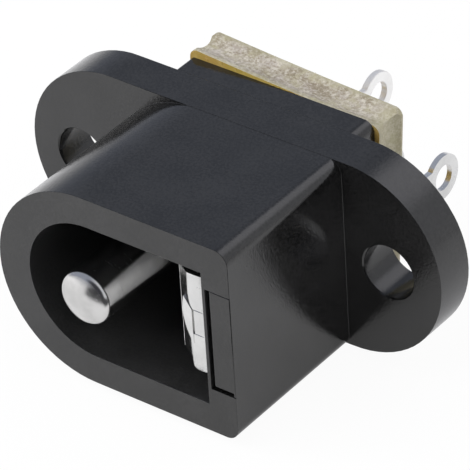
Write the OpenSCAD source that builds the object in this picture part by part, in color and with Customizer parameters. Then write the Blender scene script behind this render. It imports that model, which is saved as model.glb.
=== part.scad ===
// Panel-mounting dc barrel jack: a D-shaped moulded shroud with a two-eared flange, a centre pin,
// a folded sleeve contact, a switch contact and solder tags behind a punched laminate plate.
// X runs along the flange, Y runs back from the mouth, Z is up.
// The origin is on the pin's axis, at the front face of the flange.

/* [Housing] */
// Height of the shroud, whose left side is rounded to half of it
body_h = 9.3; // [9:0.1:11]
// Distance from the pin's axis to the flat outer side of the shroud
flat_side = 7.2; // [7:0.1:8]
// Distance that the centre of the shroud's outer round side lies left of the pin's axis
round_shift = 0.2; // [0:0.05:0.4]
// Wall of the shroud
wall = 1.4; // [1.2:0.05:1.6]
// Radius of the shroud's upper outer corner
upper_corner_r = 0.65; // [0.4:0.05:1.2]
// Radius of the shroud's lower outer corner
lower_corner_r = 0.6; // [0.3:0.1:1.2]
// Length of the shroud in front of the flange
shroud_l = 7.7; // [7.2:0.1:9]
// Floor that closes the socket at the back
floor_t = 1.2; // [0.8:0.1:1.6]

/* [Flange] */
// Overall width of the flange
flange_w = 21.24; // [20:0.02:24]
// Height of the flange, whose ears are rounded to half of it
flange_h = 9.16; // [8.8:0.02:10]
// Height of the flange's middle above the pin's axis
flange_lift = 0.08; // [0:0.01:0.2]
// Thickness of the flange
flange_t = 1.95; // [1.5:0.05:2.6]
// Distance that the middle of the flange lies right of the pin's axis
flange_shift = 1.38; // [1:0.01:1.8]
// Distance between the two screw holes
hole_spacing = 16; // [15.5:0.1:17]
// Distance that the middle between the holes lies right of the pin's axis
hole_shift = 1.35; // [1:0.01:1.8]
// Diameter of the screw holes
hole_d = 2.5; // [2:0.1:3]
// Width of the bevel at the front of each screw hole
hole_bevel = 0.06; // [0.03:0.01:0.2]

/* [Rear block] */
// Width of the block behind the flange
block_w = 9.4; // [8.8:0.1:10]
// Distance that the middle of the block lies right of the pin's axis
block_shift = 1.95; // [1.7:0.05:2.2]
// Depth of the block behind the flange
block_t = 1.15; // [0.8:0.05:2]
// Height by which the block lies under the top and bottom of the flange
block_step = 0.03; // [0.02:0.01:0.3]
// Radius of the block's left corners
block_left_r = 0.15; // [0.1:0.05:0.8]
// Radius of the block's right corners
block_right_r = 0.5; // [0.2:0.05:1]

/* [Wall key] */
// Height of the key's top above the pin's axis
key_top = 2.5; // [2.2:0.1:2.8]
// Depth of the key's slot under the pin's axis
key_bottom = 2.45; // [2.2:0.05:2.8]
// Length of the key from the mouth of the socket
key_l = 6; // [4:0.1:6.5]
// Skin of the shroud that stays between the key and the socket
key_skin = 0.16; // [0.12:0.01:0.3]
// Width of the dark joint along the inner side and the foot of the key
joint_w = 0.19; // [0.1:0.01:0.25]
// Depth of that joint behind the mouth
joint_d = 0.8; // [0.3:0.1:1.5]
// Width of the key's foot that closes the joint at the outer side of the shroud
joint_end = 0.1; // [0.05:0.01:0.2]

/* [Centre pin] */
// Diameter of the centre pin
pin_d = 2.5; // [1.9:0.1:2.6]
// Length of the pin's straight part that stands in front of the mouth
pin_proud = 0.3; // [0:0.05:0.5]
// Radius of the round edge of the pin's tip
tip_edge_r = 0.3; // [0.2:0.05:0.6]
// Radius of the dome of the pin's tip
tip_dome_r = 2.5; // [1.6:0.1:3]
// Diameter of the pin's stem through the floor and the plate
stem_d = 1.7; // [1.3:0.1:1.8]
// Diameter of the riveted head
rivet_d = 2.8; // [2.4:0.1:3.2]
// Height of the riveted head
rivet_h = 0.5; // [0.3:0.05:0.8]

/* [Terminal plate] */
// Width of the laminate plate
plate_w = 9.76; // [9:0.02:10.2]
// Height of the laminate plate
plate_h = 9.6; // [9:0.05:10.2]
// Distance that the middle of the plate lies right of the pin's axis
plate_shift = 1.76; // [1.6:0.01:2.1]
// Height of the plate's middle above the pin's axis
plate_lift = 0.05; // [0:0.01:0.2]
// Thickness of the laminate plate
plate_t = 1.68; // [1:0.02:2]
// Radius of the plate's corners
plate_corner_r = 0.4; // [0.2:0.05:1]
// Turn of the plate about the rivet, in degrees
plate_turn = 3.4; // [0:0.1:5]
// Depth of the shallow bow along the plate's top edge
edge_bow = 0.05; // [0.03:0.01:0.2]
// Depth of the hollow that punching leaves along the middle of the plate's edges
edge_hollow = 0.24; // [0.1:0.02:0.4]
// Width of the straight margin on each side of that hollow
edge_margin = 0.12; // [0.05:0.01:0.3]

/* [Sleeve contact] */
// Thickness of the contact's spring strip
strip_t = 0.25; // [0.15:0.05:0.35]
// Width of the strip along the wall and over the front lip
strip_w = 4.77; // [4:0.01:5.2]
// Depth of the strip's middle under the pin's axis
strip_drop = 0.11; // [0:0.01:0.3]
// Width that is cut from the strip's lower edge behind the lip
leg_cut = 0.6; // [0.3:0.1:1]
// Distance of the lip behind the mouth
lip_setback = 0.8; // [0.5:0.05:1.2]
// Width of the lip, from the wall to its first bend
lip_w = 1.35; // [1.2:0.05:1.6]
// Bend radius at the middle of the strip, where it leaves the wall for the lip
wall_bend_r = 0.75; // [0.4:0.05:0.9]
// Bend radius at the lip's first and second bend
bend_r = 0.3; // [0.2:0.05:0.4]
// Radius of the lip's lower corner
lip_corner_r = 0.3; // [0.2:0.05:0.6]
// Distance from the pin's axis to the second bend, where the strip turns back into the socket
shoulder_x = 3.75; // [3.6:0.05:3.9]
// Distance of that bend behind the mouth
shoulder_y = 1.35; // [1.2:0.05:1.6]
// Distance from the pin's axis to the corner of the sprung leg, before its crest is rounded
crest_x = 2.35; // [2.2:0.05:2.6]
// Distance of that corner behind the mouth
crest_y = 4.6; // [4.2:0.1:5]
// Bend radius of the crest
crest_r = 0.8; // [0.5:0.1:1]
// Distance from the pin's axis to the free end of the sprung leg
leg_end_x = 3.9; // [3.6:0.05:4.2]
// Distance of that free end behind the mouth
leg_end_y = 7.9; // [7.4:0.1:8.2]

/* [Lip bead] */
// Width of the bead pressed into the strip beside the lip
bead_w = 0.46; // [0.3:0.02:0.6]
// Height of the bead's top above the pin's axis
bead_top = 1.05; // [0.8:0.05:1.3]
// Depth of the bead's foot under the pin's axis
bead_foot = 1.27; // [1:0.01:1.5]
// Radius of the bead's round side
bead_r = 3; // [2.5:0.1:4]
// Height of the fullest place of that side above the pin's axis
bead_belly = 0.4; // [0.2:0.05:0.6]
// Height of the slope at the bead's top
bead_slope = 0.56; // [0.4:0.02:0.7]
// Width of the bead's blunt tip
bead_tip = 0.08; // [0.04:0.01:0.15]
// Distance that the bead stands in front of the lip
bead_proud = 0.03; // [0.02:0.01:0.1]
// Depth of the bead behind the front of the lip
bead_d = 0.4; // [0.3:0.05:0.5]
// Width of the slit between the bead and the lip
slit_w = 0.08; // [0.05:0.01:0.15]
// Depth of that slit and width of the two creases that run from its ends
crease_w = 0.05; // [0.03:0.01:0.1]

/* [Switch contact] */
// Width of the switch contact's leaf
switch_w = 1.3; // [1.1:0.1:1.7]
// Distance from the pin's axis to the leaf where it leaves the floor
switch_x = 2.85; // [2.75:0.05:3]
// Gap between the leaf's lower edge and the lower wall of the socket
switch_wall_gap = 0.1; // [0.05:0.01:0.2]
// Length of the leaf's straight foot in front of the floor
switch_foot = 0.6; // [0.4:0.1:0.8]
// Distance of the leaf's tip before the free end of the sprung leg
switch_tip_l = 1; // [0.6:0.1:1.4]
// Bend radius between the foot and the tip
switch_bend_r = 0.3; // [0.2:0.05:0.4]

/* [Solder tags] */
// Thickness of the pin's solder tag
tag_t = 0.3; // [0.2:0.05:0.4]
// Outer diameter of the solder eyes
eye_d = 2.16; // [1.8:0.02:2.4]
// Diameter of the holes in the solder eyes
eye_hole_d = 1.2; // [0.9:0.05:1.4]
// Width of the neck between the plate and each eye
neck_w = 1.4; // [1:0.05:1.6]
// Distance from the back of the plate to the middle of the eyes
eye_reach = 4.27; // [3:0.01:6]
// Depth of the sleeve contact's tag under the pin's axis
sleeve_tag_drop = 1.86; // [1.4:0.02:2]
// Distance from the pin's axis to the blade of the pin's tag
pin_tag_x = 2.36; // [2.1:0.02:2.6]
// Height of the pin's tag above the pin's axis
pin_tag_z = 1.2; // [0.8:0.05:1.4]
// Length of the pin's tag between its fold and its blade
fold_l = 1; // [0.6:0.1:1.4]

/* [Fits] */
// Gap round each tag in its slot
slot_gap = 0.06; // [0.02:0.01:0.12]
// Gap round the pin's stem in its holes
stem_gap = 0.04; // [0.02:0.01:0.1]
// Gap between the switch contact's tip and the sprung leg
switch_gap = 0.03; // [0.02:0.01:0.1]

/* [Hidden] */
$fn = 64;
bend_steps = 10;                        // flats that make up one bend of a strip
cut = 1;                                // overrun of a cutting shape past a face
end_r = body_h / 2;                     // outer round side of the shroud
socket_r = end_r - wall;                // inner round side of the socket
ear_r = flange_h / 2;                   // round ends of the flange
mouth_y = -shroud_l;                    // plane of the socket's mouth
block_back = flange_t + block_t;        // back of the block, where the plate sits
floor_y = block_back - floor_t;         // inner face of the socket's floor
plate_back = block_back + plate_t;      // back of the plate, where the tags sit
inner_side = flat_side - wall;          // flat inner side of the socket
eye_y = plate_back + eye_reach;         // middle of the solder eyes
strip_x = inner_side - strip_t / 2;     // middle of the strip that lies along the wall
lip_x = inner_side - lip_w;             // first bend of the lip
lip_front = mouth_y + lip_setback;      // front face of the lip
lip_y = lip_front + strip_t / 2;
shoulder = [shoulder_x, mouth_y + shoulder_y];
crest = [crest_x + strip_t / 2, mouth_y + crest_y];
leg_end = [leg_end_x, mouth_y + leg_end_y];
switch_drop = socket_r - switch_wall_gap - switch_w / 2;
strip_path = [[strip_x, floor_y], [strip_x, lip_y], [lip_x, lip_y], shoulder, crest, leg_end];
strip_top = strip_w / 2 - strip_drop;
strip_foot = -strip_w / 2 - strip_drop;
pin_rim = mouth_y - pin_proud;          // end of the pin's straight part
tip_offset = sqrt(pow(tip_dome_r - tip_edge_r, 2) - pow(pin_d / 2 - tip_edge_r, 2));
black = [0.13, 0.135, 0.14];
metal = [0.8, 0.8, 0.81];

// Unit vector from a to b
function toward(a, b) = (b - a) / norm(b - a);

// Signed turn of a path that goes from a over b to c
function turn(a, b, c) =
    let (u = toward(a, b), v = toward(b, c))
    atan2(u.x * v.y - u.y * v.x, u * v);

// Length that a bend takes from each side of its corner
function bend_len(a, b, c, r) = r * tan(abs(turn(a, b, c)) / 2);

// Centre of the bend at corner b
function bend_centre(a, b, c, r) =
    let (u = toward(a, b), v = toward(b, c))
    b + (v - u) / norm(v - u) * r / cos(turn(a, b, c) / 2);

// Turns a profile drawn in X and Z so that it runs back along Y, from y to y + length
module along_y(y, length) {
    translate([0, y + length, 0])
        rotate([90, 0, 0])
            linear_extrude(length) children();
}

// Turns a shape of revolution so that its axis runs back along Y from y
module round_y(x, y, z) {
    translate([x, y, z]) rotate([-90, 0, 0]) children();
}

// Points of one side of a folded strip along the bend at corner b; side is 1 on the left, -1 on the right
function bend_side(a, b, c, r, t, side) =
    let (centre = bend_centre(a, b, c, r),
        turned = turn(a, b, c),
        start = b - toward(a, b) * bend_len(a, b, c, r) - centre,
        reach = r - sign(turned) * side * t / 2)
    [for (i = [0:bend_steps])
        let (s = turned * i / bend_steps)
        centre + [start.x * cos(s) - start.y * sin(s), start.x * sin(s) + start.y * cos(s)] * reach / r];

// Point beside p, across the run from a to b
function beside(p, a, b, t, side) =
    let (u = toward(a, b))
    p + [-u.y, u.x] * side * t / 2;

// Points of one whole side of a strip that is folded along a path
function strip_side(path, radii, t, side) =
    let (last = len(path) - 1)
    [beside(path[0], path[0], path[1], t, side),
        for (i = [1:last - 1])
            each bend_side(path[i - 1], path[i], path[i + 1], radii[i - 1], t, side),
        beside(path[last], path[last - 1], path[last], t, side)];

// Strip folded along a path, seen on edge, with one bend radius for each inner corner
module bent_strip(path, radii, t) {
    left = strip_side(path, radii, t, 1);
    right = strip_side(path, radii, t, -1);
    polygon([each left, for (i = [len(right) - 1:-1:0]) right[i]]);
}

// Rectangle between two corners, with one radius for its left corners and one for its right corners
module round_box(low, high, left_r, right_r) {
    widest = max(left_r, right_r);
    translate([low.x + left_r, low.y]) square([high.x - low.x - left_r - right_r, high.y - low.y]);
    translate([low.x, low.y + left_r]) square([widest, high.y - low.y - 2 * left_r]);
    translate([high.x - widest, low.y + right_r]) square([widest, high.y - low.y - 2 * right_r]);
    for (y = [low.y + left_r, high.y - left_r])
        translate([low.x + left_r, y]) circle(left_r);
    for (y = [low.y + right_r, high.y - right_r])
        translate([high.x - right_r, y]) circle(right_r);
}

// D-shaped outline of the shroud
module d_outline() {
    translate([-round_shift, 0]) circle(end_r);
    difference() {
        translate([-round_shift, -end_r]) square([flat_side + round_shift, body_h]);
        translate([flat_side - upper_corner_r, end_r - upper_corner_r])
            square(upper_corner_r + cut);
        translate([flat_side - lower_corner_r, -end_r - cut])
            square([lower_corner_r + cut, lower_corner_r + cut]);
    }
    translate([flat_side - upper_corner_r, end_r - upper_corner_r]) circle(upper_corner_r);
    translate([flat_side - lower_corner_r, lower_corner_r - end_r]) circle(lower_corner_r);
}

// D-shaped outline of the socket
module socket_outline() {
    circle(socket_r);
    translate([0, -socket_r]) square([inner_side, 2 * socket_r]);
}

// Flange outline with a rounded ear at each end
module flange_outline() {
    reach = flange_w / 2 - ear_r;
    translate([flange_shift - reach, flange_lift - ear_r]) square([2 * reach, flange_h]);
    for (side = [-1, 1])
        translate([flange_shift + side * reach, flange_lift]) circle(ear_r);
}

// Hole for a screw through an ear, bevelled at the front
module screw_hole(x) {
    round_y(x, -cut, 0) cylinder(h = flange_t + 2 * cut, d = hole_d);
    round_y(x, -hole_bevel, 0)
        cylinder(h = 2 * hole_bevel, r1 = hole_d / 2 + 2 * hole_bevel, r2 = hole_d / 2);
}

// Slot for a tag, cut right through from y to y + length
module tag_slot(x, z, t, w, y, length) {
    translate([x - t / 2 - slot_gap, y, z - w / 2 - slot_gap])
        cube([t + 2 * slot_gap, length, w + 2 * slot_gap]);
}

// Slots of the two contacts that pass the floor and the plate
module contact_slots(y, length) {
    tag_slot(strip_x, -sleeve_tag_drop, strip_t, neck_w, y, length);
    tag_slot(switch_x, -switch_drop, strip_t, switch_w, y, length);
}

// Hole for the pin's stem
module stem_hole(y, length) {
    round_y(0, y, 0) cylinder(h = length, d = stem_d + 2 * stem_gap);
}

// Seat of the key in the flat wall of the shroud
module key_seat() {
    translate([inner_side + key_skin, mouth_y - cut, -key_bottom])
        cube([wall - key_skin + cut, key_l + cut, key_top + key_bottom]);
}

module housing() {
    color(black) difference() {
        union() {
            along_y(mouth_y, shroud_l + flange_t) d_outline();
            along_y(0, flange_t) flange_outline();
            along_y(flange_t / 2, flange_t / 2 + block_t)
                round_box([block_shift - block_w / 2, block_step - ear_r + flange_lift],
                    [block_shift + block_w / 2, ear_r + flange_lift - block_step],
                    block_left_r, block_right_r);
        }
        along_y(mouth_y - cut, floor_y - mouth_y + cut) socket_outline();
        for (side = [-1, 1])
            screw_hole(hole_shift + side * hole_spacing / 2);
        stem_hole(floor_y - cut, floor_t + 2 * cut);
        contact_slots(floor_y - cut, floor_t + 2 * cut);
        key_seat();
    }
}

module wall_key() {
    inner = inner_side + key_skin;
    color(black) difference() {
        translate([inner, mouth_y, -key_bottom])
            cube([flat_side - inner, key_l, key_top + key_bottom]);
        translate([inner - cut, mouth_y - cut, -key_bottom - cut])
            cube([joint_w + cut, joint_d + cut, key_top + key_bottom + 2 * cut]);
        translate([inner - cut, mouth_y - cut, -key_bottom - cut])
            cube([flat_side - joint_end - inner + cut, joint_d + cut, joint_w + cut]);
    }
}

// Round hollow along one edge of the plate, at a distance from its middle
module hollow_run(distance) {
    half = plate_t / 2 - edge_margin;
    r = (half * half + edge_hollow * edge_hollow) / (2 * edge_hollow);
    translate([distance - edge_hollow + r, plate_t / 2, 0])
        cylinder(h = 2 * (plate_w + plate_h), r = r, center = true, $fn = 96);
}

// Cutter for the shallow bow along the plate's top edge
module top_bow() {
    r = (plate_w * plate_w / 4 + edge_bow * edge_bow) / (2 * edge_bow);
    round_y(0, -cut, plate_h / 2 - edge_bow + r)
        cylinder(h = plate_t + 2 * cut, r = r, $fn = 720);
}

module terminal_plate() {
    color([0.74, 0.6, 0.28]) difference() {
        rotate([0, plate_turn, 0]) translate([plate_shift, block_back, plate_lift]) difference() {
            along_y(0, plate_t)
                round_box([-plate_w / 2, -plate_h / 2], [plate_w / 2, plate_h / 2],
                    plate_corner_r, plate_corner_r);
            for (side = [0, 180])
                rotate([0, side, 0]) hollow_run(plate_w / 2);
            for (side = [90, 270])
                rotate([0, side, 0]) hollow_run(plate_h / 2);
            top_bow();
        }
        stem_hole(block_back - cut, plate_t + 2 * cut);
        contact_slots(block_back - cut, plate_t + 2 * cut);
    }
}

// Profile of the pin's tip from its straight part forward, with a domed end and a round edge
module tip_profile() {
    edge_x = pin_d / 2 - tip_edge_r;
    intersection() {
        translate([0, -tip_offset]) circle(tip_dome_r);
        square([edge_x * tip_dome_r / (tip_dome_r - tip_edge_r), tip_dome_r]);
    }
    intersection() {
        translate([edge_x, 0]) circle(tip_edge_r);
        square([pin_d / 2, tip_dome_r]);
    }
}

module centre_pin() {
    stem_end = plate_back + tag_t;
    color(metal) {
        round_y(0, pin_rim, 0) cylinder(h = floor_y - pin_rim, d = pin_d);
        translate([0, pin_rim, 0]) rotate([90, 0, 0]) rotate_extrude() tip_profile();
        round_y(0, floor_y, 0) cylinder(h = stem_end - floor_y, d = stem_d);
        round_y(0, stem_end, 0) cylinder(h = rivet_h, d1 = rivet_d, d2 = rivet_d - rivet_h);
    }
}

// Solder tag in the plane of Y and Z: a neck from y back to a round eye
module tag_blade(x, z, t, y) {
    translate([x - t / 2, 0, z]) rotate([90, 0, 90]) linear_extrude(t) difference() {
        union() {
            translate([y, -neck_w / 2]) square([eye_y - y, neck_w]);
            translate([eye_y, 0]) circle(d = eye_d);
        }
        translate([eye_y, 0]) circle(d = eye_hole_d);
    }
}

module pin_tag() {
    seat_y = plate_back + tag_t / 2;
    fold = [pin_tag_x, seat_y];
    low = pin_tag_z - neck_w / 2;
    path = [[stem_d, seat_y], fold, fold + [0, fold_l]];
    color(metal) {
        difference() {
            union() {
                along_y(plate_back, tag_t) circle(d = rivet_d + 2 * tag_t);
                translate([0, plate_back, low])
                    cube([stem_d, tag_t, neck_w]);
            }
            stem_hole(plate_back - cut, tag_t + 2 * cut);
        }
        translate([0, 0, low]) linear_extrude(neck_w) bent_strip(path, [tag_t], tag_t);
        tag_blade(pin_tag_x, pin_tag_z, tag_t, seat_y + fold_l);
    }
}

// Outline of the strip seen from the mouth: the lip's lower corner is round, and the leg is cut away below
module strip_outline() {
    leg_foot = strip_foot + leg_cut;
    translate([0, leg_foot]) square([inner_side, strip_top - leg_foot]);
    translate([lip_x + lip_corner_r, strip_foot + lip_corner_r]) circle(lip_corner_r);
    translate([lip_x + lip_corner_r, strip_foot])
        square([inner_side - lip_x - lip_corner_r, strip_w]);
    translate([lip_x, strip_foot + lip_corner_r])
        square([inner_side - lip_x, strip_w - lip_corner_r]);
}

// Outline of the bead seen from the mouth: a round side towards the pin and a slope at its top
module bead_outline(root_x) {
    low_x = root_x - bead_w;
    intersection() {
        translate([low_x + bead_r, bead_belly]) circle(bead_r);
        polygon([[low_x, -bead_foot], [root_x, -bead_foot], [root_x, bead_top - bead_slope],
            [low_x + bead_tip, bead_top], [low_x, bead_top]]);
    }
}

// Bead pressed forward beside the lip
module lip_bead(root_x) {
    along_y(lip_front - bead_proud, bead_d + bead_proud) bead_outline(root_x);
}

// Slit between the bead and the lip, and the creases that run across the lip from the slit's ends
module lip_marks(root_x) {
    slit_top = bead_top - bead_slope;
    slit_foot = bead_slope - bead_foot;
    translate([root_x, lip_front - cut, slit_foot])
        cube([slit_w, cut + 2 * crease_w, slit_top - slit_foot]);
    for (z = [slit_top, slit_foot])
        translate([root_x, lip_front - cut, z - crease_w / 2])
            cube([lip_w, cut + crease_w / 2, crease_w]);
}

module sleeve_contact() {
    root_x = lip_x + strip_t / 2;
    radii = [wall_bend_r, bend_r, bend_r, crest_r];
    color(metal) {
        difference() {
            union() {
                intersection() {
                    translate([0, 0, strip_foot])
                        linear_extrude(strip_w) bent_strip(strip_path, radii, strip_t);
                    along_y(mouth_y, floor_y - mouth_y) strip_outline();
                }
                lip_bead(root_x);
            }
            lip_marks(root_x);
        }
        tag_blade(strip_x, -sleeve_tag_drop, strip_t, floor_y);
    }
}

module switch_contact() {
    run = toward(crest, leg_end);
    aside = [-run.y, run.x];
    // The tip lies beside the sprung leg, short of the leg's free end
    tip = leg_end - run * switch_tip_l + aside * (strip_t + switch_gap);
    foot = [switch_x, floor_y - switch_foot];
    path = [[switch_x, floor_y], foot, tip];
    low = -switch_drop - switch_w / 2;
    color(metal) {
        translate([0, 0, low]) linear_extrude(switch_w) bent_strip(path, [switch_bend_r], strip_t);
        translate([switch_x - strip_t / 2, floor_y, low])
            cube([strip_t, plate_back - floor_y, switch_w]);
        tag_blade(switch_x, -switch_drop, strip_t, plate_back);
    }
}

housing();
wall_key();
terminal_plate();
centre_pin();
pin_tag();
sleeve_contact();
switch_contact();
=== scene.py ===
"""Looks of a panel-mounting dc barrel jack, built around its CAD frame.

X runs along the flange, Y runs back from the mouth of the socket, Z is up.
The origin is on the centre pin's axis, at the front face of the flange.
"""

import math

import bmesh
import bpy
from mathutils import Matrix, Vector


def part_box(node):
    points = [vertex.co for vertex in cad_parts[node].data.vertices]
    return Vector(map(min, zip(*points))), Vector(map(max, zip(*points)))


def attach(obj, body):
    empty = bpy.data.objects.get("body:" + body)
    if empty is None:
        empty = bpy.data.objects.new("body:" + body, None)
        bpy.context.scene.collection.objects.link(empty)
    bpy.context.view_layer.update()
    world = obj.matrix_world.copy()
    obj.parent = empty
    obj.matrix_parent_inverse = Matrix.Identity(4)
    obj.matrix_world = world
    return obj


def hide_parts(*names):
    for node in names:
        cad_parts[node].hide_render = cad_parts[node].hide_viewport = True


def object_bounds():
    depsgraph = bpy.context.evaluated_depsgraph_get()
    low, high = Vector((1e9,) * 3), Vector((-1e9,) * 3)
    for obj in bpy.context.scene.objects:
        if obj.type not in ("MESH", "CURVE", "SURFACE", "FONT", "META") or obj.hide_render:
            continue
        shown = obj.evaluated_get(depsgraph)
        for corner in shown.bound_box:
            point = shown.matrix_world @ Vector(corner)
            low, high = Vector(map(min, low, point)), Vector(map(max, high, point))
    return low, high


MM = 0.001

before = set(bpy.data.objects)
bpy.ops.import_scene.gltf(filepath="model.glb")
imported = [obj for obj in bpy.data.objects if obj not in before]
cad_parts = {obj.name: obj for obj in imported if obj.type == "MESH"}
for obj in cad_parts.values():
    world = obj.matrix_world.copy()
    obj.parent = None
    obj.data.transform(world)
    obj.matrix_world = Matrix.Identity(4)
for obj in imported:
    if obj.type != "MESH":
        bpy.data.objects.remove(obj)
cad_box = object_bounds()


# ---------------------------------------------------------------- node helpers

FLOAT, COLOUR, VECTOR = "NodeSocketFloat", "NodeSocketColor", "NodeSocketVector"


def feed(tree, made, inputs):
    """Links the inputs of a node that are given as sockets and sets those given as values."""
    for key, value in inputs.items():
        socket = made.inputs[key]
        if isinstance(value, bpy.types.NodeSocket):
            tree.links.new(value, socket)
        else:
            socket.default_value = value


def add(tree, kind, inputs=None, **settings):
    """A node with its settings and its inputs."""
    made = tree.nodes.new(kind)
    for name, value in settings.items():
        setattr(made, name, value)
    feed(tree, made, inputs or {})
    return made


def maths(tree, operation, *values, clamp=False):
    """The output of a Math node."""
    made = add(tree, "ShaderNodeMath", dict(enumerate(values)), operation=operation, use_clamp=clamp)
    return made.outputs[0]


def noise(tree, vector, scale, detail=3.0, roughness=0.5):
    """The value of a Noise texture, about 0 to 1."""
    made = add(tree, "ShaderNodeTexNoise",
               {"Vector": vector, "Scale": scale, "Detail": detail, "Roughness": roughness})
    return made.outputs[0]


def ramp(tree, value, low, high, out_low=0.0, out_high=1.0):
    """The value mapped smoothly from low..high to out_low..out_high."""
    made = add(tree, "ShaderNodeMapRange",
               {"Value": value, "From Min": low, "From Max": high, "To Min": out_low, "To Max": out_high},
               interpolation_type="SMOOTHSTEP")
    return made.outputs[0]


def blend(tree, factor, low, high):
    """A colour between low and high."""
    made = add(tree, "ShaderNodeMix", {0: factor, 6: low, 7: high}, data_type="RGBA")
    return made.outputs[2]


def stretch(tree, vector, scale):
    """The vector with each axis scaled, which stretches or packs a pattern."""
    return add(tree, "ShaderNodeVectorMath", {0: vector, 1: scale}, operation="MULTIPLY").outputs[0]


def reach_along(tree, vector, direction):
    """How far the vector reaches along a direction."""
    made = add(tree, "ShaderNodeVectorMath", {0: vector, 1: direction}, operation="DOT_PRODUCT")
    return made.outputs["Value"]


def shader_group(name, inputs, outputs):
    """A shader node group with named inputs and outputs; inputs give their type and default."""
    tree = bpy.data.node_groups.new(name, "ShaderNodeTree")
    for label, (kind, default) in inputs.items():
        socket = tree.interface.new_socket(label, in_out="INPUT", socket_type=kind)
        if default is not None:
            socket.default_value = default
    for label, kind in outputs.items():
        tree.interface.new_socket(label, in_out="OUTPUT", socket_type=kind)
    return tree, tree.nodes.new("NodeGroupInput").outputs, tree.nodes.new("NodeGroupOutput").inputs


def place_group(tree, group, inputs):
    """The outputs of a placed node group."""
    made = tree.nodes.new("ShaderNodeGroup")
    made.node_tree = group
    feed(tree, made, inputs)
    return made.outputs


# ---------------------------------------------------------------- shared surface effects

def moulding_grain():
    """Fine grain of a moulded face: a height for a bump and a roughness that wanders."""
    tree, given, out = shader_group(
        "moulding_grain",
        {"Vector": (VECTOR, None), "Grain per metre": (FLOAT, 9000.0),
         "Smoothest": (FLOAT, 0.1), "Roughest": (FLOAT, 0.2)},
        {"Height": FLOAT, "Roughness": FLOAT})
    fine = noise(tree, given["Vector"], given["Grain per metre"], detail=4.0, roughness=0.6)
    flow = noise(tree, given["Vector"], scale=260.0, detail=2.0)
    tree.links.new(fine, out["Height"])
    wander = add(tree, "ShaderNodeMapRange",
                 {"Value": maths(tree, "MULTIPLY_ADD", fine, 0.4, maths(tree, "MULTIPLY", flow, 0.6)),
                  "From Min": 0.35, "From Max": 0.65,
                  "To Min": given["Smoothest"], "To Max": given["Roughest"]}).outputs[0]
    tree.links.new(wander, out["Roughness"])
    return tree


def hairlines():
    """Fine scratches along one axis, as handling and tools leave them."""
    tree, given, out = shader_group(
        "hairlines",
        {"Vector": (VECTOR, None), "Stretch": (VECTOR, (1.0, 1.0, 1.0)), "Share": (FLOAT, 0.3)},
        {"Mask": FLOAT, "Height": FLOAT})
    streaks = noise(tree, stretch(tree, given["Vector"], given["Stretch"]),
                    scale=1.0, detail=5.0, roughness=0.7)
    low = maths(tree, "SUBTRACT", 0.72, maths(tree, "MULTIPLY", given["Share"], 0.4))
    mask = add(tree, "ShaderNodeMapRange",
               {"Value": streaks, "From Min": low, "From Max": maths(tree, "ADD", low, 0.12)}).outputs[0]
    tree.links.new(mask, out["Mask"])
    tree.links.new(maths(tree, "SUBTRACT", 1.0, mask), out["Height"])
    return tree


def resin_speckle():
    """Blotches of resin and fibre, with a second and a third tint in scattered specks."""
    tree, given, out = shader_group(
        "resin_speckle",
        {"Vector": (VECTOR, None), "Specks per metre": (FLOAT, 3000.0),
         "Ground": (COLOUR, (0.4, 0.35, 0.28, 1)), "Dark": (COLOUR, (0.2, 0.15, 0.1, 1)),
         "Pale": (COLOUR, (0.6, 0.56, 0.5, 1)), "Tint": (COLOUR, (0.3, 0.3, 0.15, 1))},
        {"Colour": COLOUR, "Height": FLOAT})
    vector, size = given["Vector"], given["Specks per metre"]
    blotch = noise(tree, vector, size, detail=3.0, roughness=0.6)
    broad = noise(tree, vector, maths(tree, "MULTIPLY", size, 0.3), detail=2.0)
    fleck = noise(tree, vector, maths(tree, "MULTIPLY", size, 1.9), detail=2.0, roughness=0.55)
    colour = blend(tree, ramp(tree, blotch, 0.40, 0.62), given["Ground"], given["Pale"])
    colour = blend(tree, ramp(tree, broad, 0.5, 0.68, out_high=0.75), colour, given["Tint"])
    colour = blend(tree, ramp(tree, fleck, 0.58, 0.72, out_high=0.8), colour, given["Dark"])
    tree.links.new(colour, out["Colour"])
    tree.links.new(maths(tree, "ADD", blotch, maths(tree, "MULTIPLY", fleck, 0.5)), out["Height"])
    return tree


GRAIN = moulding_grain()
HAIRLINES = hairlines()
SPECKLE = resin_speckle()


def new_material(name, **constants):
    """A material, its node tree, its Principled shader and its Object coordinates."""
    material = bpy.data.materials.new(name)
    material.use_nodes = True
    tree = material.node_tree
    shader = tree.nodes["Principled BSDF"]
    for socket, value in constants.items():
        shader.inputs[socket.replace("_", " ")].default_value = value
    return material, tree, shader, tree.nodes.new("ShaderNodeTexCoord").outputs["Object"]


def dress(tree, shader, colour, roughness, height, depth):
    """Feeds a colour, a roughness and a bump of a height and a depth into the shader."""
    relief = add(tree, "ShaderNodeBump", {"Height": height, "Distance": depth})
    feed(tree, shader, {"Base Color": colour, "Roughness": roughness, "Normal": relief.outputs[0]})


# ---------------------------------------------------------------- materials

def scuffed(tree, grain, marks):
    """The roughness of the grain, a little higher in the hairlines."""
    return maths(tree, "MULTIPLY_ADD", marks["Mask"], 0.08, grain["Roughness"])


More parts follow.
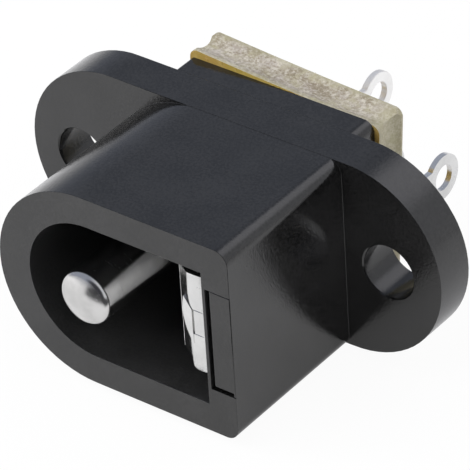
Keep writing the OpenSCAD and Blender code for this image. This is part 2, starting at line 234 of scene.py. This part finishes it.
def black_plastic(name, dark, light, smoothest, roughest):
    """Black thermoplastic with a fine grain and a few handling marks, between two depths of black."""
    material, tree, shader, where = new_material(name, IOR=1.58)
    grain = place_group(tree, GRAIN, {"Vector": where, "Smoothest": smoothest, "Roughest": roughest})
    marks = place_group(tree, HAIRLINES, {"Vector": where, "Stretch": (900.0, 260.0, 2400.0), "Share": 0.25})
    clouds = noise(tree, where, scale=420.0, detail=3.0)
    speckled = maths(tree, "MULTIPLY_ADD", clouds, 0.3, maths(tree, "MULTIPLY", grain["Height"], 0.7))
    colour = blend(tree, ramp(tree, speckled, 0.40, 0.60), dark, light)
    colour = blend(tree, maths(tree, "MULTIPLY", marks["Mask"], 0.35), colour, (0.030, 0.030, 0.031, 1))
    dress(tree, shader, colour, scuffed(tree, grain, marks), grain["Height"], depth=0.006 * MM)
    return material


def laminate_face():
    """Amber resin skin of the laminate, glossy over faint paper fibres."""
    material, tree, shader, where = new_material("laminate_face", IOR=1.54)
    speckle = place_group(tree, SPECKLE, {
        "Vector": stretch(tree, where, (1.0, 1.0, 0.35)), "Specks per metre": 1500.0,
        "Ground": (0.50, 0.33, 0.09, 1), "Dark": (0.32, 0.19, 0.04, 1),
        "Pale": (0.60, 0.43, 0.14, 1), "Tint": (0.50, 0.37, 0.08, 1)})
    grain = place_group(tree, GRAIN, {"Vector": where, "Grain per metre": 5000.0,
                                      "Smoothest": 0.22, "Roughest": 0.36})
    dress(tree, shader, speckle["Colour"], grain["Roughness"], speckle["Height"], depth=0.004 * MM)
    return material


UNEVENNESS = 0.5 * MM           # how far the line between the sandy middle and the olive skins wanders
OLIVE_CORNER = 1.5 * MM         # width of the olive at the two ends of the plate


def laminate_edge(name, paleness):
    """Punched edge of the laminate: pale broken resin, sandy and mauve in the middle of its thickness with
    clusters of brown specks, and olive towards the two skins and the corners. Paleness lightens it all."""
    material, tree, shader, where = new_material(name, IOR=1.5)
    low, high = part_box("terminal_plate")
    middle, half = (low + high) / 2, (high - low) / 2
    speckle = place_group(tree, SPECKLE, {
        "Vector": where, "Specks per metre": 6400.0,
        "Ground": (0.370, 0.325, 0.250, 1), "Dark": (0.200, 0.160, 0.105, 1),
        "Pale": (0.580, 0.535, 0.450, 1), "Tint": (0.430, 0.390, 0.265, 1)})
    mauve = noise(tree, where, scale=1500.0, detail=3.0)
    colour = blend(tree, ramp(tree, mauve, 0.48, 0.64, out_high=0.35),
                   speckle["Colour"], (0.42, 0.365, 0.345, 1))
    clusters = noise(tree, where, scale=900.0, detail=2.0)
    specks = noise(tree, stretch(tree, where, (0.5, 1.0, 1.0)), scale=9500.0, detail=3.0, roughness=0.7)
    brown = ramp(tree, maths(tree, "MULTIPLY", clusters, specks), 0.23, 0.37, out_high=0.75)
    colour = blend(tree, brown, colour, (0.200, 0.158, 0.095, 1))
    axes = add(tree, "ShaderNodeSeparateXYZ", {0: where}).outputs
    depth = maths(tree, "ABSOLUTE", maths(tree, "SUBTRACT", axes["Y"], middle.y))
    across = maths(tree, "ABSOLUTE", maths(tree, "SUBTRACT", axes["X"], middle.x))
    wander = noise(tree, where, scale=1900.0, detail=3.0)
    uneven = maths(tree, "MULTIPLY_ADD", wander, UNEVENNESS, -UNEVENNESS / 2)
    skins = ramp(tree, maths(tree, "ADD", depth, uneven), 0.55 * half.y, 1.05 * half.y)
    corners = ramp(tree, maths(tree, "ADD", across, uneven), half.x - OLIVE_CORNER, half.x)
    olive = maths(tree, "MULTIPLY", maths(tree, "MAXIMUM", skins, corners), 0.6)
    colour = blend(tree, olive, colour, (0.440, 0.410, 0.255, 1))
    colour = blend(tree, paleness, colour, (0.66, 0.62, 0.54, 1))
    grain = place_group(tree, GRAIN, {"Vector": where, "Grain per metre": 6000.0,
                                      "Smoothest": 0.5, "Roughest": 0.8})
    dress(tree, shader, colour, grain["Roughness"], speckle["Height"], depth=0.02 * MM)
    return material


def plated_metal(name, dull, bright, smoothest, roughest, scratch, share, metallic=1.0):
    """Plated metal: a colour that wanders a little, hairlines, and a roughness that follows both."""
    material, tree, shader, where = new_material(name, Metallic=metallic)
    marks = place_group(tree, HAIRLINES, {"Vector": where, "Stretch": scratch, "Share": share})
    grain = place_group(tree, GRAIN, {"Vector": where, "Grain per metre": 7000.0,
                                      "Smoothest": smoothest, "Roughest": roughest})
    clouds = noise(tree, where, scale=900.0, detail=3.0)
    colour = blend(tree, ramp(tree, clouds, 0.35, 0.65), dull, bright)
    colour = blend(tree, maths(tree, "MULTIPLY", marks["Mask"], 0.3), colour, dull)
    dress(tree, shader, colour, scuffed(tree, grain, marks), marks["Height"], depth=0.0008 * MM)
    return material


HOUSING_BLACK = black_plastic("housing_black", dark=(0.0030, 0.0030, 0.0029, 1),
                              light=(0.0140, 0.0138, 0.0136, 1), smoothest=0.09, roughest=0.17)
SOCKET_BLACK = black_plastic("socket_black", dark=(0.0150, 0.0149, 0.0147, 1),
                             light=(0.0260, 0.0258, 0.0256, 1), smoothest=0.35, roughest=0.50)
LAMINATE_FACE = laminate_face()
LAMINATE_EDGE = laminate_edge("laminate_edge", paleness=0.0)
RESIN_GRAINS = laminate_edge("resin_grains", paleness=0.25)
PIN_NICKEL = plated_metal("pin_nickel", dull=(0.56, 0.555, 0.545, 1), bright=(0.66, 0.655, 0.645, 1),
                          smoothest=0.14, roughest=0.24, scratch=(700.0, 9000.0, 700.0), share=0.35)
TAG_TIN = plated_metal("tag_tin", dull=(0.88, 0.875, 0.86, 1), bright=(0.95, 0.945, 0.93, 1),
                       smoothest=0.28, roughest=0.42, scratch=(900.0, 900.0, 7000.0), share=0.3)
SHEARED_TIN = plated_metal("sheared_tin", dull=(0.84, 0.82, 0.79, 1), bright=(0.92, 0.90, 0.87, 1),
                           smoothest=0.45, roughest=0.6, scratch=(9000.0, 900.0, 900.0), share=0.5,
                           metallic=0.8)
STRIP_SILVER = plated_metal("strip_silver", dull=(0.68, 0.68, 0.67, 1), bright=(0.76, 0.76, 0.75, 1),
                            smoothest=0.16, roughest=0.28, scratch=(900.0, 900.0, 6500.0), share=0.3)
RUBBED_SILVER = plated_metal("rubbed_silver", dull=(0.90, 0.895, 0.88, 1), bright=(0.95, 0.945, 0.935, 1),
                             smoothest=0.55, roughest=0.7, scratch=(900.0, 6500.0, 900.0), share=0.5,
                             metallic=0.25)


# ---------------------------------------------------------------- meshes

MERGE_WITHIN = 0.0004 * MM              # points of a CAD mesh this close are one
FLAT_WITHIN = math.radians(0.6)         # faces that turn less than this are one flat face
ROOM_SHARE = 0.4                        # share of the room across an edge that its rounding may take
LEAST_ROUNDING = 0.12                   # an edge that can't get this share of the radius stays sharp
RUNS_ALONG = 0.8                        # cosine from which one edge runs along another, not across it
SOFT_TURN = math.cos(math.radians(33))  # faces that turn less than this at a corner are shaded as one
CLOSE = 0.01 * MM                       # what lies this close to a plane lies in it


def angle_of(edge):
    """Angle between the two faces of an edge, or 0 where it has not two faces."""
    return edge.calc_face_angle(0.0) if len(edge.link_faces) == 2 else 0.0


def edge_room(edge):
    """Length across an edge that its neighbours leave for rounding it."""
    along = (edge.verts[1].co - edge.verts[0].co).normalized()
    room = math.inf
    for vert in edge.verts:
        for other in vert.link_edges:
            across = other.verts[1].co - other.verts[0].co
            if across.length > 0 and abs(across.normalized().dot(along)) < RUNS_ALONG:
                room = min(room, across.length)
    return room


def merged_copy(node):
    """A copy of a CAD node's mesh, and a BMesh of it that is closed and has each flat face in one piece."""
    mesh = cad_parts[node].data.copy()
    bm = bmesh.new()
    bm.from_mesh(mesh)
    bmesh.ops.remove_doubles(bm, verts=bm.verts, dist=MERGE_WITHIN)
    bmesh.ops.dissolve_limit(bm, angle_limit=FLAT_WITHIN, verts=bm.verts, edges=bm.edges)
    mesh.materials.clear()
    return mesh, bm


def shade_flat_faces_flat(mesh):
    """Corner normals that run smoothly round the roundings and leave the flat faces flat.

    At each corner a face takes the mean of the faces that meet there at a soft turn, and the large ones
    count for most.
    """
    around = [[] for _ in mesh.vertices]
    for face in mesh.polygons:
        for vertex in face.vertices:
            around[vertex].append((face.normal.copy(), face.area ** 2))
    normals = []
    for face in mesh.polygons:
        for vertex in face.vertices:
            total = Vector()
            for normal, weight in around[vertex]:
                if normal.dot(face.normal) > SOFT_TURN:
                    total += normal * weight
            normals.append(total.normalized() if total.length > 0 else face.normal.copy())
    mesh.normals_split_custom_set(normals)


def finish_piece(piece, node, flats=False):
    """Makes a piece a plain mesh within the CAD box that rides on the frame in place of its CAD node."""
    bpy.context.view_layer.update()
    graph = bpy.context.evaluated_depsgraph_get()
    plain = bpy.data.meshes.new_from_object(piece.evaluated_get(graph))
    piece.modifiers.clear()
    for vert in plain.vertices:
        vert.co = [min(max(value, low), high) for value, low, high in zip(vert.co, *cad_box)]
    if flats:
        shade_flat_faces_flat(plain)
    piece.data = plain
    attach(piece, "root")
    if node:
        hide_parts(node)
    return piece


def new_piece(name, mesh, materials=()):
    """An object in the scene for a mesh with its materials."""
    for material in materials:
        mesh.materials.append(material)
    piece = bpy.data.objects.new(name, mesh)
    bpy.context.scene.collection.objects.link(piece)
    return piece


def rounded_piece(node, name, radius, materials, choose=None, crisp=None, mend=None, sharp=35.0):
    """A copy of a CAD node with its sharp edges rounded, apart from the crisp ones and those without room.

    Choose picks a material for a face by its centre and normal, crisp says by its two ends that an edge
    stays sharp, and mend changes the copy before its edges are looked at.
    """
    mesh, bm = merged_copy(node)
    if mend:
        mend(bm)
    weight = bm.edges.layers.float.new("bevel_weight_edge")
    for face in bm.faces:
        face.smooth = True
    for edge in bm.edges:
        if angle_of(edge) < math.radians(sharp):
            continue
        share = min(1.0, ROOM_SHARE * edge_room(edge) / radius)
        if share < LEAST_ROUNDING or (crisp and crisp(edge.verts[0].co, edge.verts[1].co)):
            edge.smooth = False
        else:
            edge[weight] = share
    bm.to_mesh(mesh)
    bm.free()
    piece = new_piece(name, mesh, materials)
    if choose:
        for face in mesh.polygons:
            face.material_index = choose(face.center, face.normal)
    bevel = piece.modifiers.new("rounding", "BEVEL")
    bevel.limit_method = "WEIGHT"
    bevel.width = radius
    bevel.segments = 3
    bevel.use_clamp_overlap = True
    bevel.loop_slide = True
    return finish_piece(piece, node, flats=True)


# ---------------------------------------------------------------- centre pin

PIN_SIDES = 96
SHAFT_R = 1.25 * MM
STEM_R = 0.85 * MM              # behind the socket's floor
SHAFT_END_Y = 1.9 * MM          # where the shaft meets the socket's floor
SHAFT_CHAMFER = 0.05 * MM
TIP_DOME_R = 2.5 * MM
TIP_EDGE_R = 0.3 * MM
HEAD_R = 1.4 * MM               # the riveted head behind the plate
HEAD_H = 0.5 * MM
HEAD_EDGE_R = 0.32 * MM
HEAD_CHAMFER = (0.06 * MM, 0.08 * MM)                   # across and along the pin
DIMPLE = ((0.55 * MM, 0.0), (0.42 * MM, 0.05 * MM),     # radius and depth of its points, rim first
          (0.22 * MM, 0.11 * MM), (0.0, 0.13 * MM))


def arc(centre, radius, start, end, steps):
    """Points (r, y) of an arc, with its angles in degrees from the +r direction towards -y."""
    angles = [math.radians(start + (end - start) * i / steps) for i in range(steps + 1)]
    return [(centre[0] + radius * math.cos(angle), centre[1] - radius * math.sin(angle)) for angle in angles]


def turned(name, profile, materials):
    """A closed shape turned about Y from a profile of (r, y) points that starts and ends on the axis."""
    bm = bmesh.new()
    turns = [math.tau * i / PIN_SIDES for i in range(PIN_SIDES)]
    rings = []
    for r, y in profile:
        ring = [(r * math.cos(turn), y, r * math.sin(turn)) for turn in turns] if r else [(0, y, 0)]
        rings.append([bm.verts.new(place) for place in ring])
    for low, high in zip(rings, rings[1:]):
        for i in range(PIN_SIDES):
            j = (i + 1) % PIN_SIDES
            corners = [low[i % len(low)], low[j % len(low)], high[j % len(high)], high[i % len(high)]]
            bm.faces.new(list(dict.fromkeys(corners)))
    bmesh.ops.recalc_face_normals(bm, faces=bm.faces)
    mesh = bpy.data.meshes.new(name)
    for face in bm.faces:
        face.smooth = True
    bm.to_mesh(mesh)
    bm.free()
    mesh.set_sharp_from_angle(angle=math.radians(40))
    return new_piece(name, mesh, materials)


def centre_pin():
    """The turned pin: a domed tip, a straight shaft, a stem through the floor, and a riveted head behind."""
    low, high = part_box("centre_pin")
    dome_y = low.y + TIP_DOME_R
    edge_r = SHAFT_R - TIP_EDGE_R
    meet = math.asin(edge_r / (TIP_DOME_R - TIP_EDGE_R))
    edge_y = dome_y - (TIP_DOME_R - TIP_EDGE_R) * math.cos(meet)
    meet = math.degrees(meet)
    dome = [(0.0, low.y)] + arc((0, dome_y), TIP_DOME_R, 90, 90 - meet, 14)[1:]
    edge = arc((edge_r, edge_y), TIP_EDGE_R, 90 - meet, 0, 12)[1:]
    shaft_end = [(SHAFT_R, SHAFT_END_Y - SHAFT_CHAMFER), (SHAFT_R - SHAFT_CHAMFER, SHAFT_END_Y),
                 (STEM_R, SHAFT_END_Y)]
    head_y = high.y - HEAD_H
    head = [(STEM_R, head_y), (HEAD_R - HEAD_CHAMFER[0], head_y), (HEAD_R, head_y + HEAD_CHAMFER[1])]
    head += arc((HEAD_R - HEAD_EDGE_R, high.y - HEAD_EDGE_R), HEAD_EDGE_R, 0, -90, 6)
    dimple = [(r, high.y - depth) for r, depth in DIMPLE]
    piece = turned("centre_pin_turned", dome + edge + shaft_end + head + dimple, [PIN_NICKEL])
    finish_piece(piece, "centre_pin")


# ---------------------------------------------------------------- housing and key

SOCKET_END_Y = 1.95 * MM        # just behind the socket's floor
MOUTH_BEFORE_Y = 0.5 * MM       # what looks forwards in front of this is the mouth's face or the flange
SOCKET_REACH = 6.0 * MM         # between the socket's walls and the outside of the shroud
SOCKET_SHAPE = 1.75             # that reach to the sides, over the reach up and down
SHROUD_BEFORE_Y = -1.0 * MM     # in front of this there is the shroud alone
STEP_LEFT = 0.001 * MM          # between the shroud's top and the flange's; with none the roundings fail
KEY_LOW, KEY_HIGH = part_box("wall_key")


def socket_side(centre, normal):
    """0 outside, 1 on the walls and the floor of the socket."""
    reach = max(abs(centre.x), abs(centre.z) * SOCKET_SHAPE)
    if centre.y >= SOCKET_END_Y or reach >= SOCKET_REACH:
        return 0
    return 1 if abs(normal.y) < 0.5 or centre.y > MOUTH_BEFORE_Y else 0


def flush_with_side(start, end):
    """True for the edges of the key and of its seat that lie in the shroud's flat side."""
    if min(start.x, end.x) < KEY_HIGH.x - CLOSE:
        return False
    beside_key = all(KEY_LOW.z - CLOSE < point.z < KEY_HIGH.z + CLOSE for point in (start, end))
    return beside_key and (abs(start.z - end.z) < CLOSE or start.y > KEY_LOW.y + CLOSE)


def lower_flange_top(bm):
    """Brings the flange's top down until it stands only the step that is left above the shroud's top."""
    shroud_top = max(vert.co.z for vert in bm.verts if vert.co.y < SHROUD_BEFORE_Y)
    for vert in bm.verts:
        vert.co.z = min(vert.co.z, shroud_top + STEP_LEFT)


def housing():
    """The moulding, with its socket in a duller black than its outside."""
    rounded_piece("housing", "housing_moulding", 0.11 * MM, [HOUSING_BLACK, SOCKET_BLACK],
                  choose=socket_side, crisp=flush_with_side, mend=lower_flange_top)


def wall_key():
    """The bar let into the flat wall."""
    rounded_piece("wall_key", "wall_key_bar", 0.06 * MM, [HOUSING_BLACK],
                  crisp=flush_with_side)


# ---------------------------------------------------------------- plate and its broken edges

GRAINS_PER_SQUARE_MM = 16.0
GRAIN_SEED = 7
SMALLEST_GRAIN, LARGEST_GRAIN = 0.018 * MM, 0.045 * MM
SLIMMEST_GRAIN, THICKEST_GRAIN = (0.6, 0.6, 0.25), (1.0, 1.0, 0.45)     # shares of its size


def plate_side(centre, normal):
    """0 on the plate's front and back face, 1 on its punched edges and holes."""
    return 0 if abs(normal.y) > 0.9 else 1


def resin_grain_tree():
    """Geometry nodes: flat grains scattered over a surface, with their density and sizes as named inputs."""
    tree = bpy.data.node_groups.new("resin_grains", "GeometryNodeTree")
    tree.interface.new_socket("Surface", in_out="INPUT", socket_type="NodeSocketGeometry")
    for label, kind in (("Grains per square metre", FLOAT), ("Smallest", FLOAT), ("Largest", FLOAT),
                        ("Seed", "NodeSocketInt"), ("Material", "NodeSocketMaterial")):
        tree.interface.new_socket(label, in_out="INPUT", socket_type=kind)
    tree.interface.new_socket("Grains", in_out="OUTPUT", socket_type="NodeSocketGeometry")
    given, out = tree.nodes.new("NodeGroupInput").outputs, tree.nodes.new("NodeGroupOutput").inputs
    seed = given["Seed"]
    spots = add(tree, "GeometryNodeDistributePointsOnFaces",
                {"Mesh": given["Surface"], "Density": given["Grains per square metre"], "Seed": seed})
    shape = add(tree, "FunctionNodeRandomValue",
                {"Min": SLIMMEST_GRAIN, "Max": THICKEST_GRAIN, "Seed": seed}, data_type="FLOAT_VECTOR")
    size = add(tree, "FunctionNodeRandomValue", {2: given["Smallest"], 3: given["Largest"], "Seed": seed})
    scaled = add(tree, "ShaderNodeVectorMath", {0: shape.outputs[0], "Scale": size.outputs[1]},
                 operation="SCALE")
    grain = add(tree, "GeometryNodeMeshIcoSphere", {"Radius": 1.0, "Subdivisions": 1})
    placed = add(tree, "GeometryNodeInstanceOnPoints",
                 {"Points": spots.outputs["Points"], "Instance": grain.outputs["Mesh"],
                  "Rotation": spots.outputs["Rotation"], "Scale": scaled.outputs[0]})
    solid = add(tree, "GeometryNodeRealizeInstances", {"Geometry": placed.outputs[0]})
    dressed = add(tree, "GeometryNodeSetMaterial",
                  {"Geometry": solid.outputs[0], "Material": given["Material"]})
    tree.links.new(dressed.outputs[0], out["Grains"])
    return tree


def grains_on_punched_edges(plate):
    """Broken resin that stands out of the laminate's punched edges and holes."""
    bm = bmesh.new()
    bm.from_mesh(plate.data)
    skins = [face for face in bm.faces if face.material_index == 0]
    bmesh.ops.delete(bm, geom=skins, context="FACES")
    mesh = bpy.data.meshes.new("terminal_plate_grains")
    bm.to_mesh(mesh)
    bm.free()
    piece = new_piece("terminal_plate_grains", mesh)
    tree = resin_grain_tree()
    scatter = piece.modifiers.new("grains", "NODES")
    scatter.node_group = tree
    values = {"Grains per square metre": GRAINS_PER_SQUARE_MM / MM ** 2, "Smallest": SMALLEST_GRAIN,
              "Largest": LARGEST_GRAIN, "Seed": GRAIN_SEED, "Material": RESIN_GRAINS}
    for socket in tree.interface.items_tree:
        if socket.in_out == "INPUT" and socket.name in values:
            scatter[socket.identifier] = values[socket.name]
    finish_piece(piece, None)


def terminal_plate():
    """The punched plate, with amber skins and pale edges that shed grains of resin."""
    plate = rounded_piece("terminal_plate", "terminal_plate_punched", 0.06 * MM,
                          [LAMINATE_FACE, LAMINATE_EDGE], choose=plate_side)
    grains_on_punched_edges(plate)


# ---------------------------------------------------------------- tags and contacts

RUBBED_BEHIND_Y = -6.5 * MM     # behind the front lip
RUBBED_WITHIN_X = 5.6 * MM      # nearer to the pin than the base that lies on the flat wall


def tag_side(centre, normal):
    """0 on the rolled faces of a tag, 1 on its sheared edges that look up or down."""
    return 0 if abs(normal.x) > 0.9 or abs(normal.z) < 0.3 else 1


def plug_side(centre, normal):
    """1 where the plug's sleeve rubs the spring, on the faces that look at the pin, and 0 elsewhere."""
    return 1 if normal.x < -0.3 and centre.y > RUBBED_BEHIND_Y and centre.x < RUBBED_WITHIN_X else 0


def pin_tag():
    """The stamped tag under the pin's riveted head."""
    rounded_piece("pin_tag", "pin_solder_tag", 0.04 * MM, [TAG_TIN, SHEARED_TIN],
                  choose=tag_side)


def sleeve_contact():
    """The folded spring that presses on the plug's sleeve."""
    rounded_piece("sleeve_contact", "sleeve_spring", 0.05 * MM,
                  [STRIP_SILVER, RUBBED_SILVER], choose=plug_side, sharp=30.0)


def switch_contact():
    """The leaf that the spring rests on until a plug goes in."""
    rounded_piece("switch_contact", "switch_leaf", 0.04 * MM, [STRIP_SILVER], sharp=30.0)


housing()
wall_key()
terminal_plate()
pin_tag()
sleeve_contact()
switch_contact()
centre_pin()


# ---------------------------------------------------------------- floor, light and camera

CAMERA_AZIMUTH = 39.066
CAMERA_ELEVATION = 35.021
CAMERA_ROLL = -3.748
CAMERA_DISTANCE = 182.51 * MM
CAMERA_TARGET = Vector((1.403, 0.066, -1.189)) * MM
CAMERA_LENS = 333.67
SENSOR = 36.0

FLOOR_SIZE = 3.0
FLOOR_GAP = 0.02 * MM
GLOW_SEEN = 0.95                            # share of plain white in the floor that the camera sees
GLOW_MIRRORED = 0.4                         # the same share where the jack mirrors the floor
PAINTED_SHADE_FRONT = (CAMERA_AZIMUTH, 16.2 * MM)   # front edge of the painted shade that mirrors see in the floor: azimuth, distance from the origin
PAINTED_SHADE_LEFT = (72.5, 0.9 * MM)               # left end of that edge; beyond it the floor has no painted shade
PAINTED_SHADE_FRONT_BLUR, PAINTED_SHADE_LEFT_BLUR = 1.2 * MM, 2.0 * MM
# The second floor colour is painted shade: near black floor that only mirrors see, though the lamps light
# the floor there.
PAPER, PAINTED_SHADE_COLOUR = (0.92, 0.905, 0.885, 1), (0.05, 0.05, 0.05, 1)

WALLS = (0.78, 0.78, 0.80, 1)
ROOF_LEFT, ROOF_RIGHT = (0.38, 0.41, 0.49, 1), (0.78, 0.79, 0.83, 1)
PATCH_TOWARDS, PATCH = (0.22, 0.62, 0.75), (1.45, 1.45, 1.54, 1)
OPENING_TOWARDS, OPENING = (0.35, -0.88, 0.3), (0.06, 0.06, 0.07, 1)
WHITE = (1, 1, 1, 1)


def floor_glow(tree):
    """Share of plain white in the floor: for the camera, for what mirrors it, and none for the light on it.
    Also the floor's own colour: pale, with a near black painted shade past a straight front edge that only
    mirrors see."""
    path = tree.nodes.new("ShaderNodeLightPath").outputs
    mirror = maths(tree, "ADD", path["Is Glossy Ray"], path["Is Transmission Ray"], clamp=True)
    place = tree.nodes.new("ShaderNodeTexCoord").outputs["Object"]

    def beyond(line, blur):
        """0 to 1 across a straight edge of the painted shade, from its azimuth and its distance from the
        origin.
        """
        azimuth, distance = math.radians(line[0]), line[1]
        reach = reach_along(tree, place, (math.sin(azimuth), -math.cos(azimuth), 0.0))
        return ramp(tree, reach, distance - blur, distance + blur)

    # Painted shade: past both edges the floor turns near black and loses its glow, for mirrors only.
    painted_shade = maths(tree, "MULTIPLY",
                  beyond(PAINTED_SHADE_FRONT, PAINTED_SHADE_FRONT_BLUR), beyond(PAINTED_SHADE_LEFT, PAINTED_SHADE_LEFT_BLUR))
    paper = blend(tree, maths(tree, "MULTIPLY", mirror, painted_shade), PAPER, PAINTED_SHADE_COLOUR)
    mirrored = maths(tree, "MULTIPLY", maths(tree, "MULTIPLY", mirror, GLOW_MIRRORED),
                     maths(tree, "SUBTRACT", 1.0, painted_shade))
    return maths(tree, "MULTIPLY_ADD", path["Is Camera Ray"], GLOW_SEEN, mirrored, clamp=True), paper


def pale_floor():
    """Plain pale floor just under the lowest point of the jack, with a painted shade that only mirrors see.
    """
    bm = bmesh.new()
    bmesh.ops.create_grid(bm, x_segments=1, y_segments=1, size=FLOOR_SIZE / 2)
    mesh = bpy.data.meshes.new("floor")
    bm.to_mesh(mesh)
    bm.free()
    mesh.transform(Matrix.Translation((0, 0, cad_box[0][2] - FLOOR_GAP)))
    material = bpy.data.materials.new("floor_white")
    material.use_nodes = True
    tree = material.node_tree
    tree.nodes.clear()
    share, colour = floor_glow(tree)
    paper = add(tree, "ShaderNodeBsdfDiffuse", {"Color": colour})
    glow = add(tree, "ShaderNodeEmission", {"Color": WHITE, "Strength": 1.0})
    mixed = add(tree, "ShaderNodeMixShader", {0: share, 1: paper.outputs[0], 2: glow.outputs[0]})
    add(tree, "ShaderNodeOutputMaterial", {"Surface": mixed.outputs[0]})
    floor = new_piece("floor", mesh, [material])


def studio_world():
    """A light tent: pale walls, brighter at the right, bluish and darker overhead, a soft lit patch
    high at the back and a dark opening in front; white where the camera sees it."""
    world = bpy.data.worlds.new("studio")
    bpy.context.scene.world = world
    world.use_nodes = True
    tree = world.node_tree
    tree.nodes.clear()
    direction = tree.nodes.new("ShaderNodeTexCoord").outputs["Generated"]
    axes = add(tree, "ShaderNodeSeparateXYZ", {0: direction}).outputs

    def towards(place, edge, middle):
        """0 outside and 1 in the middle of a round patch of the tent, by the cosines of its angles."""
        return ramp(tree, reach_along(tree, direction, Vector(place).normalized()), edge, middle)

    roof = blend(tree, ramp(tree, axes["X"], -0.1, 0.55), ROOF_LEFT, ROOF_RIGHT)
    colour = blend(tree, ramp(tree, axes["Z"], -0.05, 0.25), WALLS, roof)
    colour = blend(tree, towards(PATCH_TOWARDS, 0.90, 0.995), colour, PATCH)
    colour = blend(tree, towards(OPENING_TOWARDS, 0.72, 0.92), colour, OPENING)
    seen = tree.nodes.new("ShaderNodeLightPath").outputs["Is Camera Ray"]
    lit = add(tree, "ShaderNodeBackground", {"Color": colour, "Strength": 1.0})
    white = add(tree, "ShaderNodeBackground", {"Color": WHITE, "Strength": 1.0})
    mixed = add(tree, "ShaderNodeMixShader", {0: seen, 1: lit.outputs[0], 2: white.outputs[0]})
    add(tree, "ShaderNodeOutputWorld", {"Surface": mixed.outputs[0]})


def softbox(name, direction, distance, size, power):
    """A square soft lamp that looks at the jack and isn't mirrored in it."""
    data = bpy.data.lights.new(name, "AREA")
    data.size = size
    data.energy = power
    lamp = bpy.data.objects.new(name, data)
    bpy.context.scene.collection.objects.link(lamp)
    lamp.location = Vector(direction).normalized() * distance
    lamp.rotation_euler = (-lamp.location).to_track_quat("-Z", "Y").to_euler()
    lamp.visible_glossy = False


def jack_camera():
    """Camera that looks down at the mouth from the right."""
    azimuth, elevation, roll = map(math.radians, (CAMERA_AZIMUTH, CAMERA_ELEVATION, CAMERA_ROLL))
    back = Vector((math.sin(azimuth) * math.cos(elevation), -math.cos(azimuth) * math.cos(elevation),
                   math.sin(elevation)))
    data = bpy.data.cameras.new("camera")
    data.sensor_width = SENSOR
    data.lens = CAMERA_LENS
    data.clip_start = 0.01
    data.clip_end = 10.0
    camera = bpy.data.objects.new("camera", data)
    bpy.context.scene.collection.objects.link(camera)
    turn = back.to_track_quat("Z", "Y").to_matrix() @ Matrix.Rotation(roll, 3, "Z")
    camera.matrix_world = Matrix.Translation(CAMERA_TARGET + back * CAMERA_DISTANCE) @ turn.to_4x4()
    bpy.context.scene.camera = camera


pale_floor()
studio_world()
softbox("key_lamp", direction=(-0.5, -0.7, 0.9), distance=0.5, size=0.4, power=1.6)
softbox("fill_lamp", direction=(0.9, -0.3, 0.6), distance=0.5, size=0.4, power=0.5)
softbox("low_lamp", direction=(-0.8, -0.45, 0.35), distance=0.09, size=0.05, power=0.030)
jack_camera()
bpy.context.scene.view_settings.view_transform = "Standard"
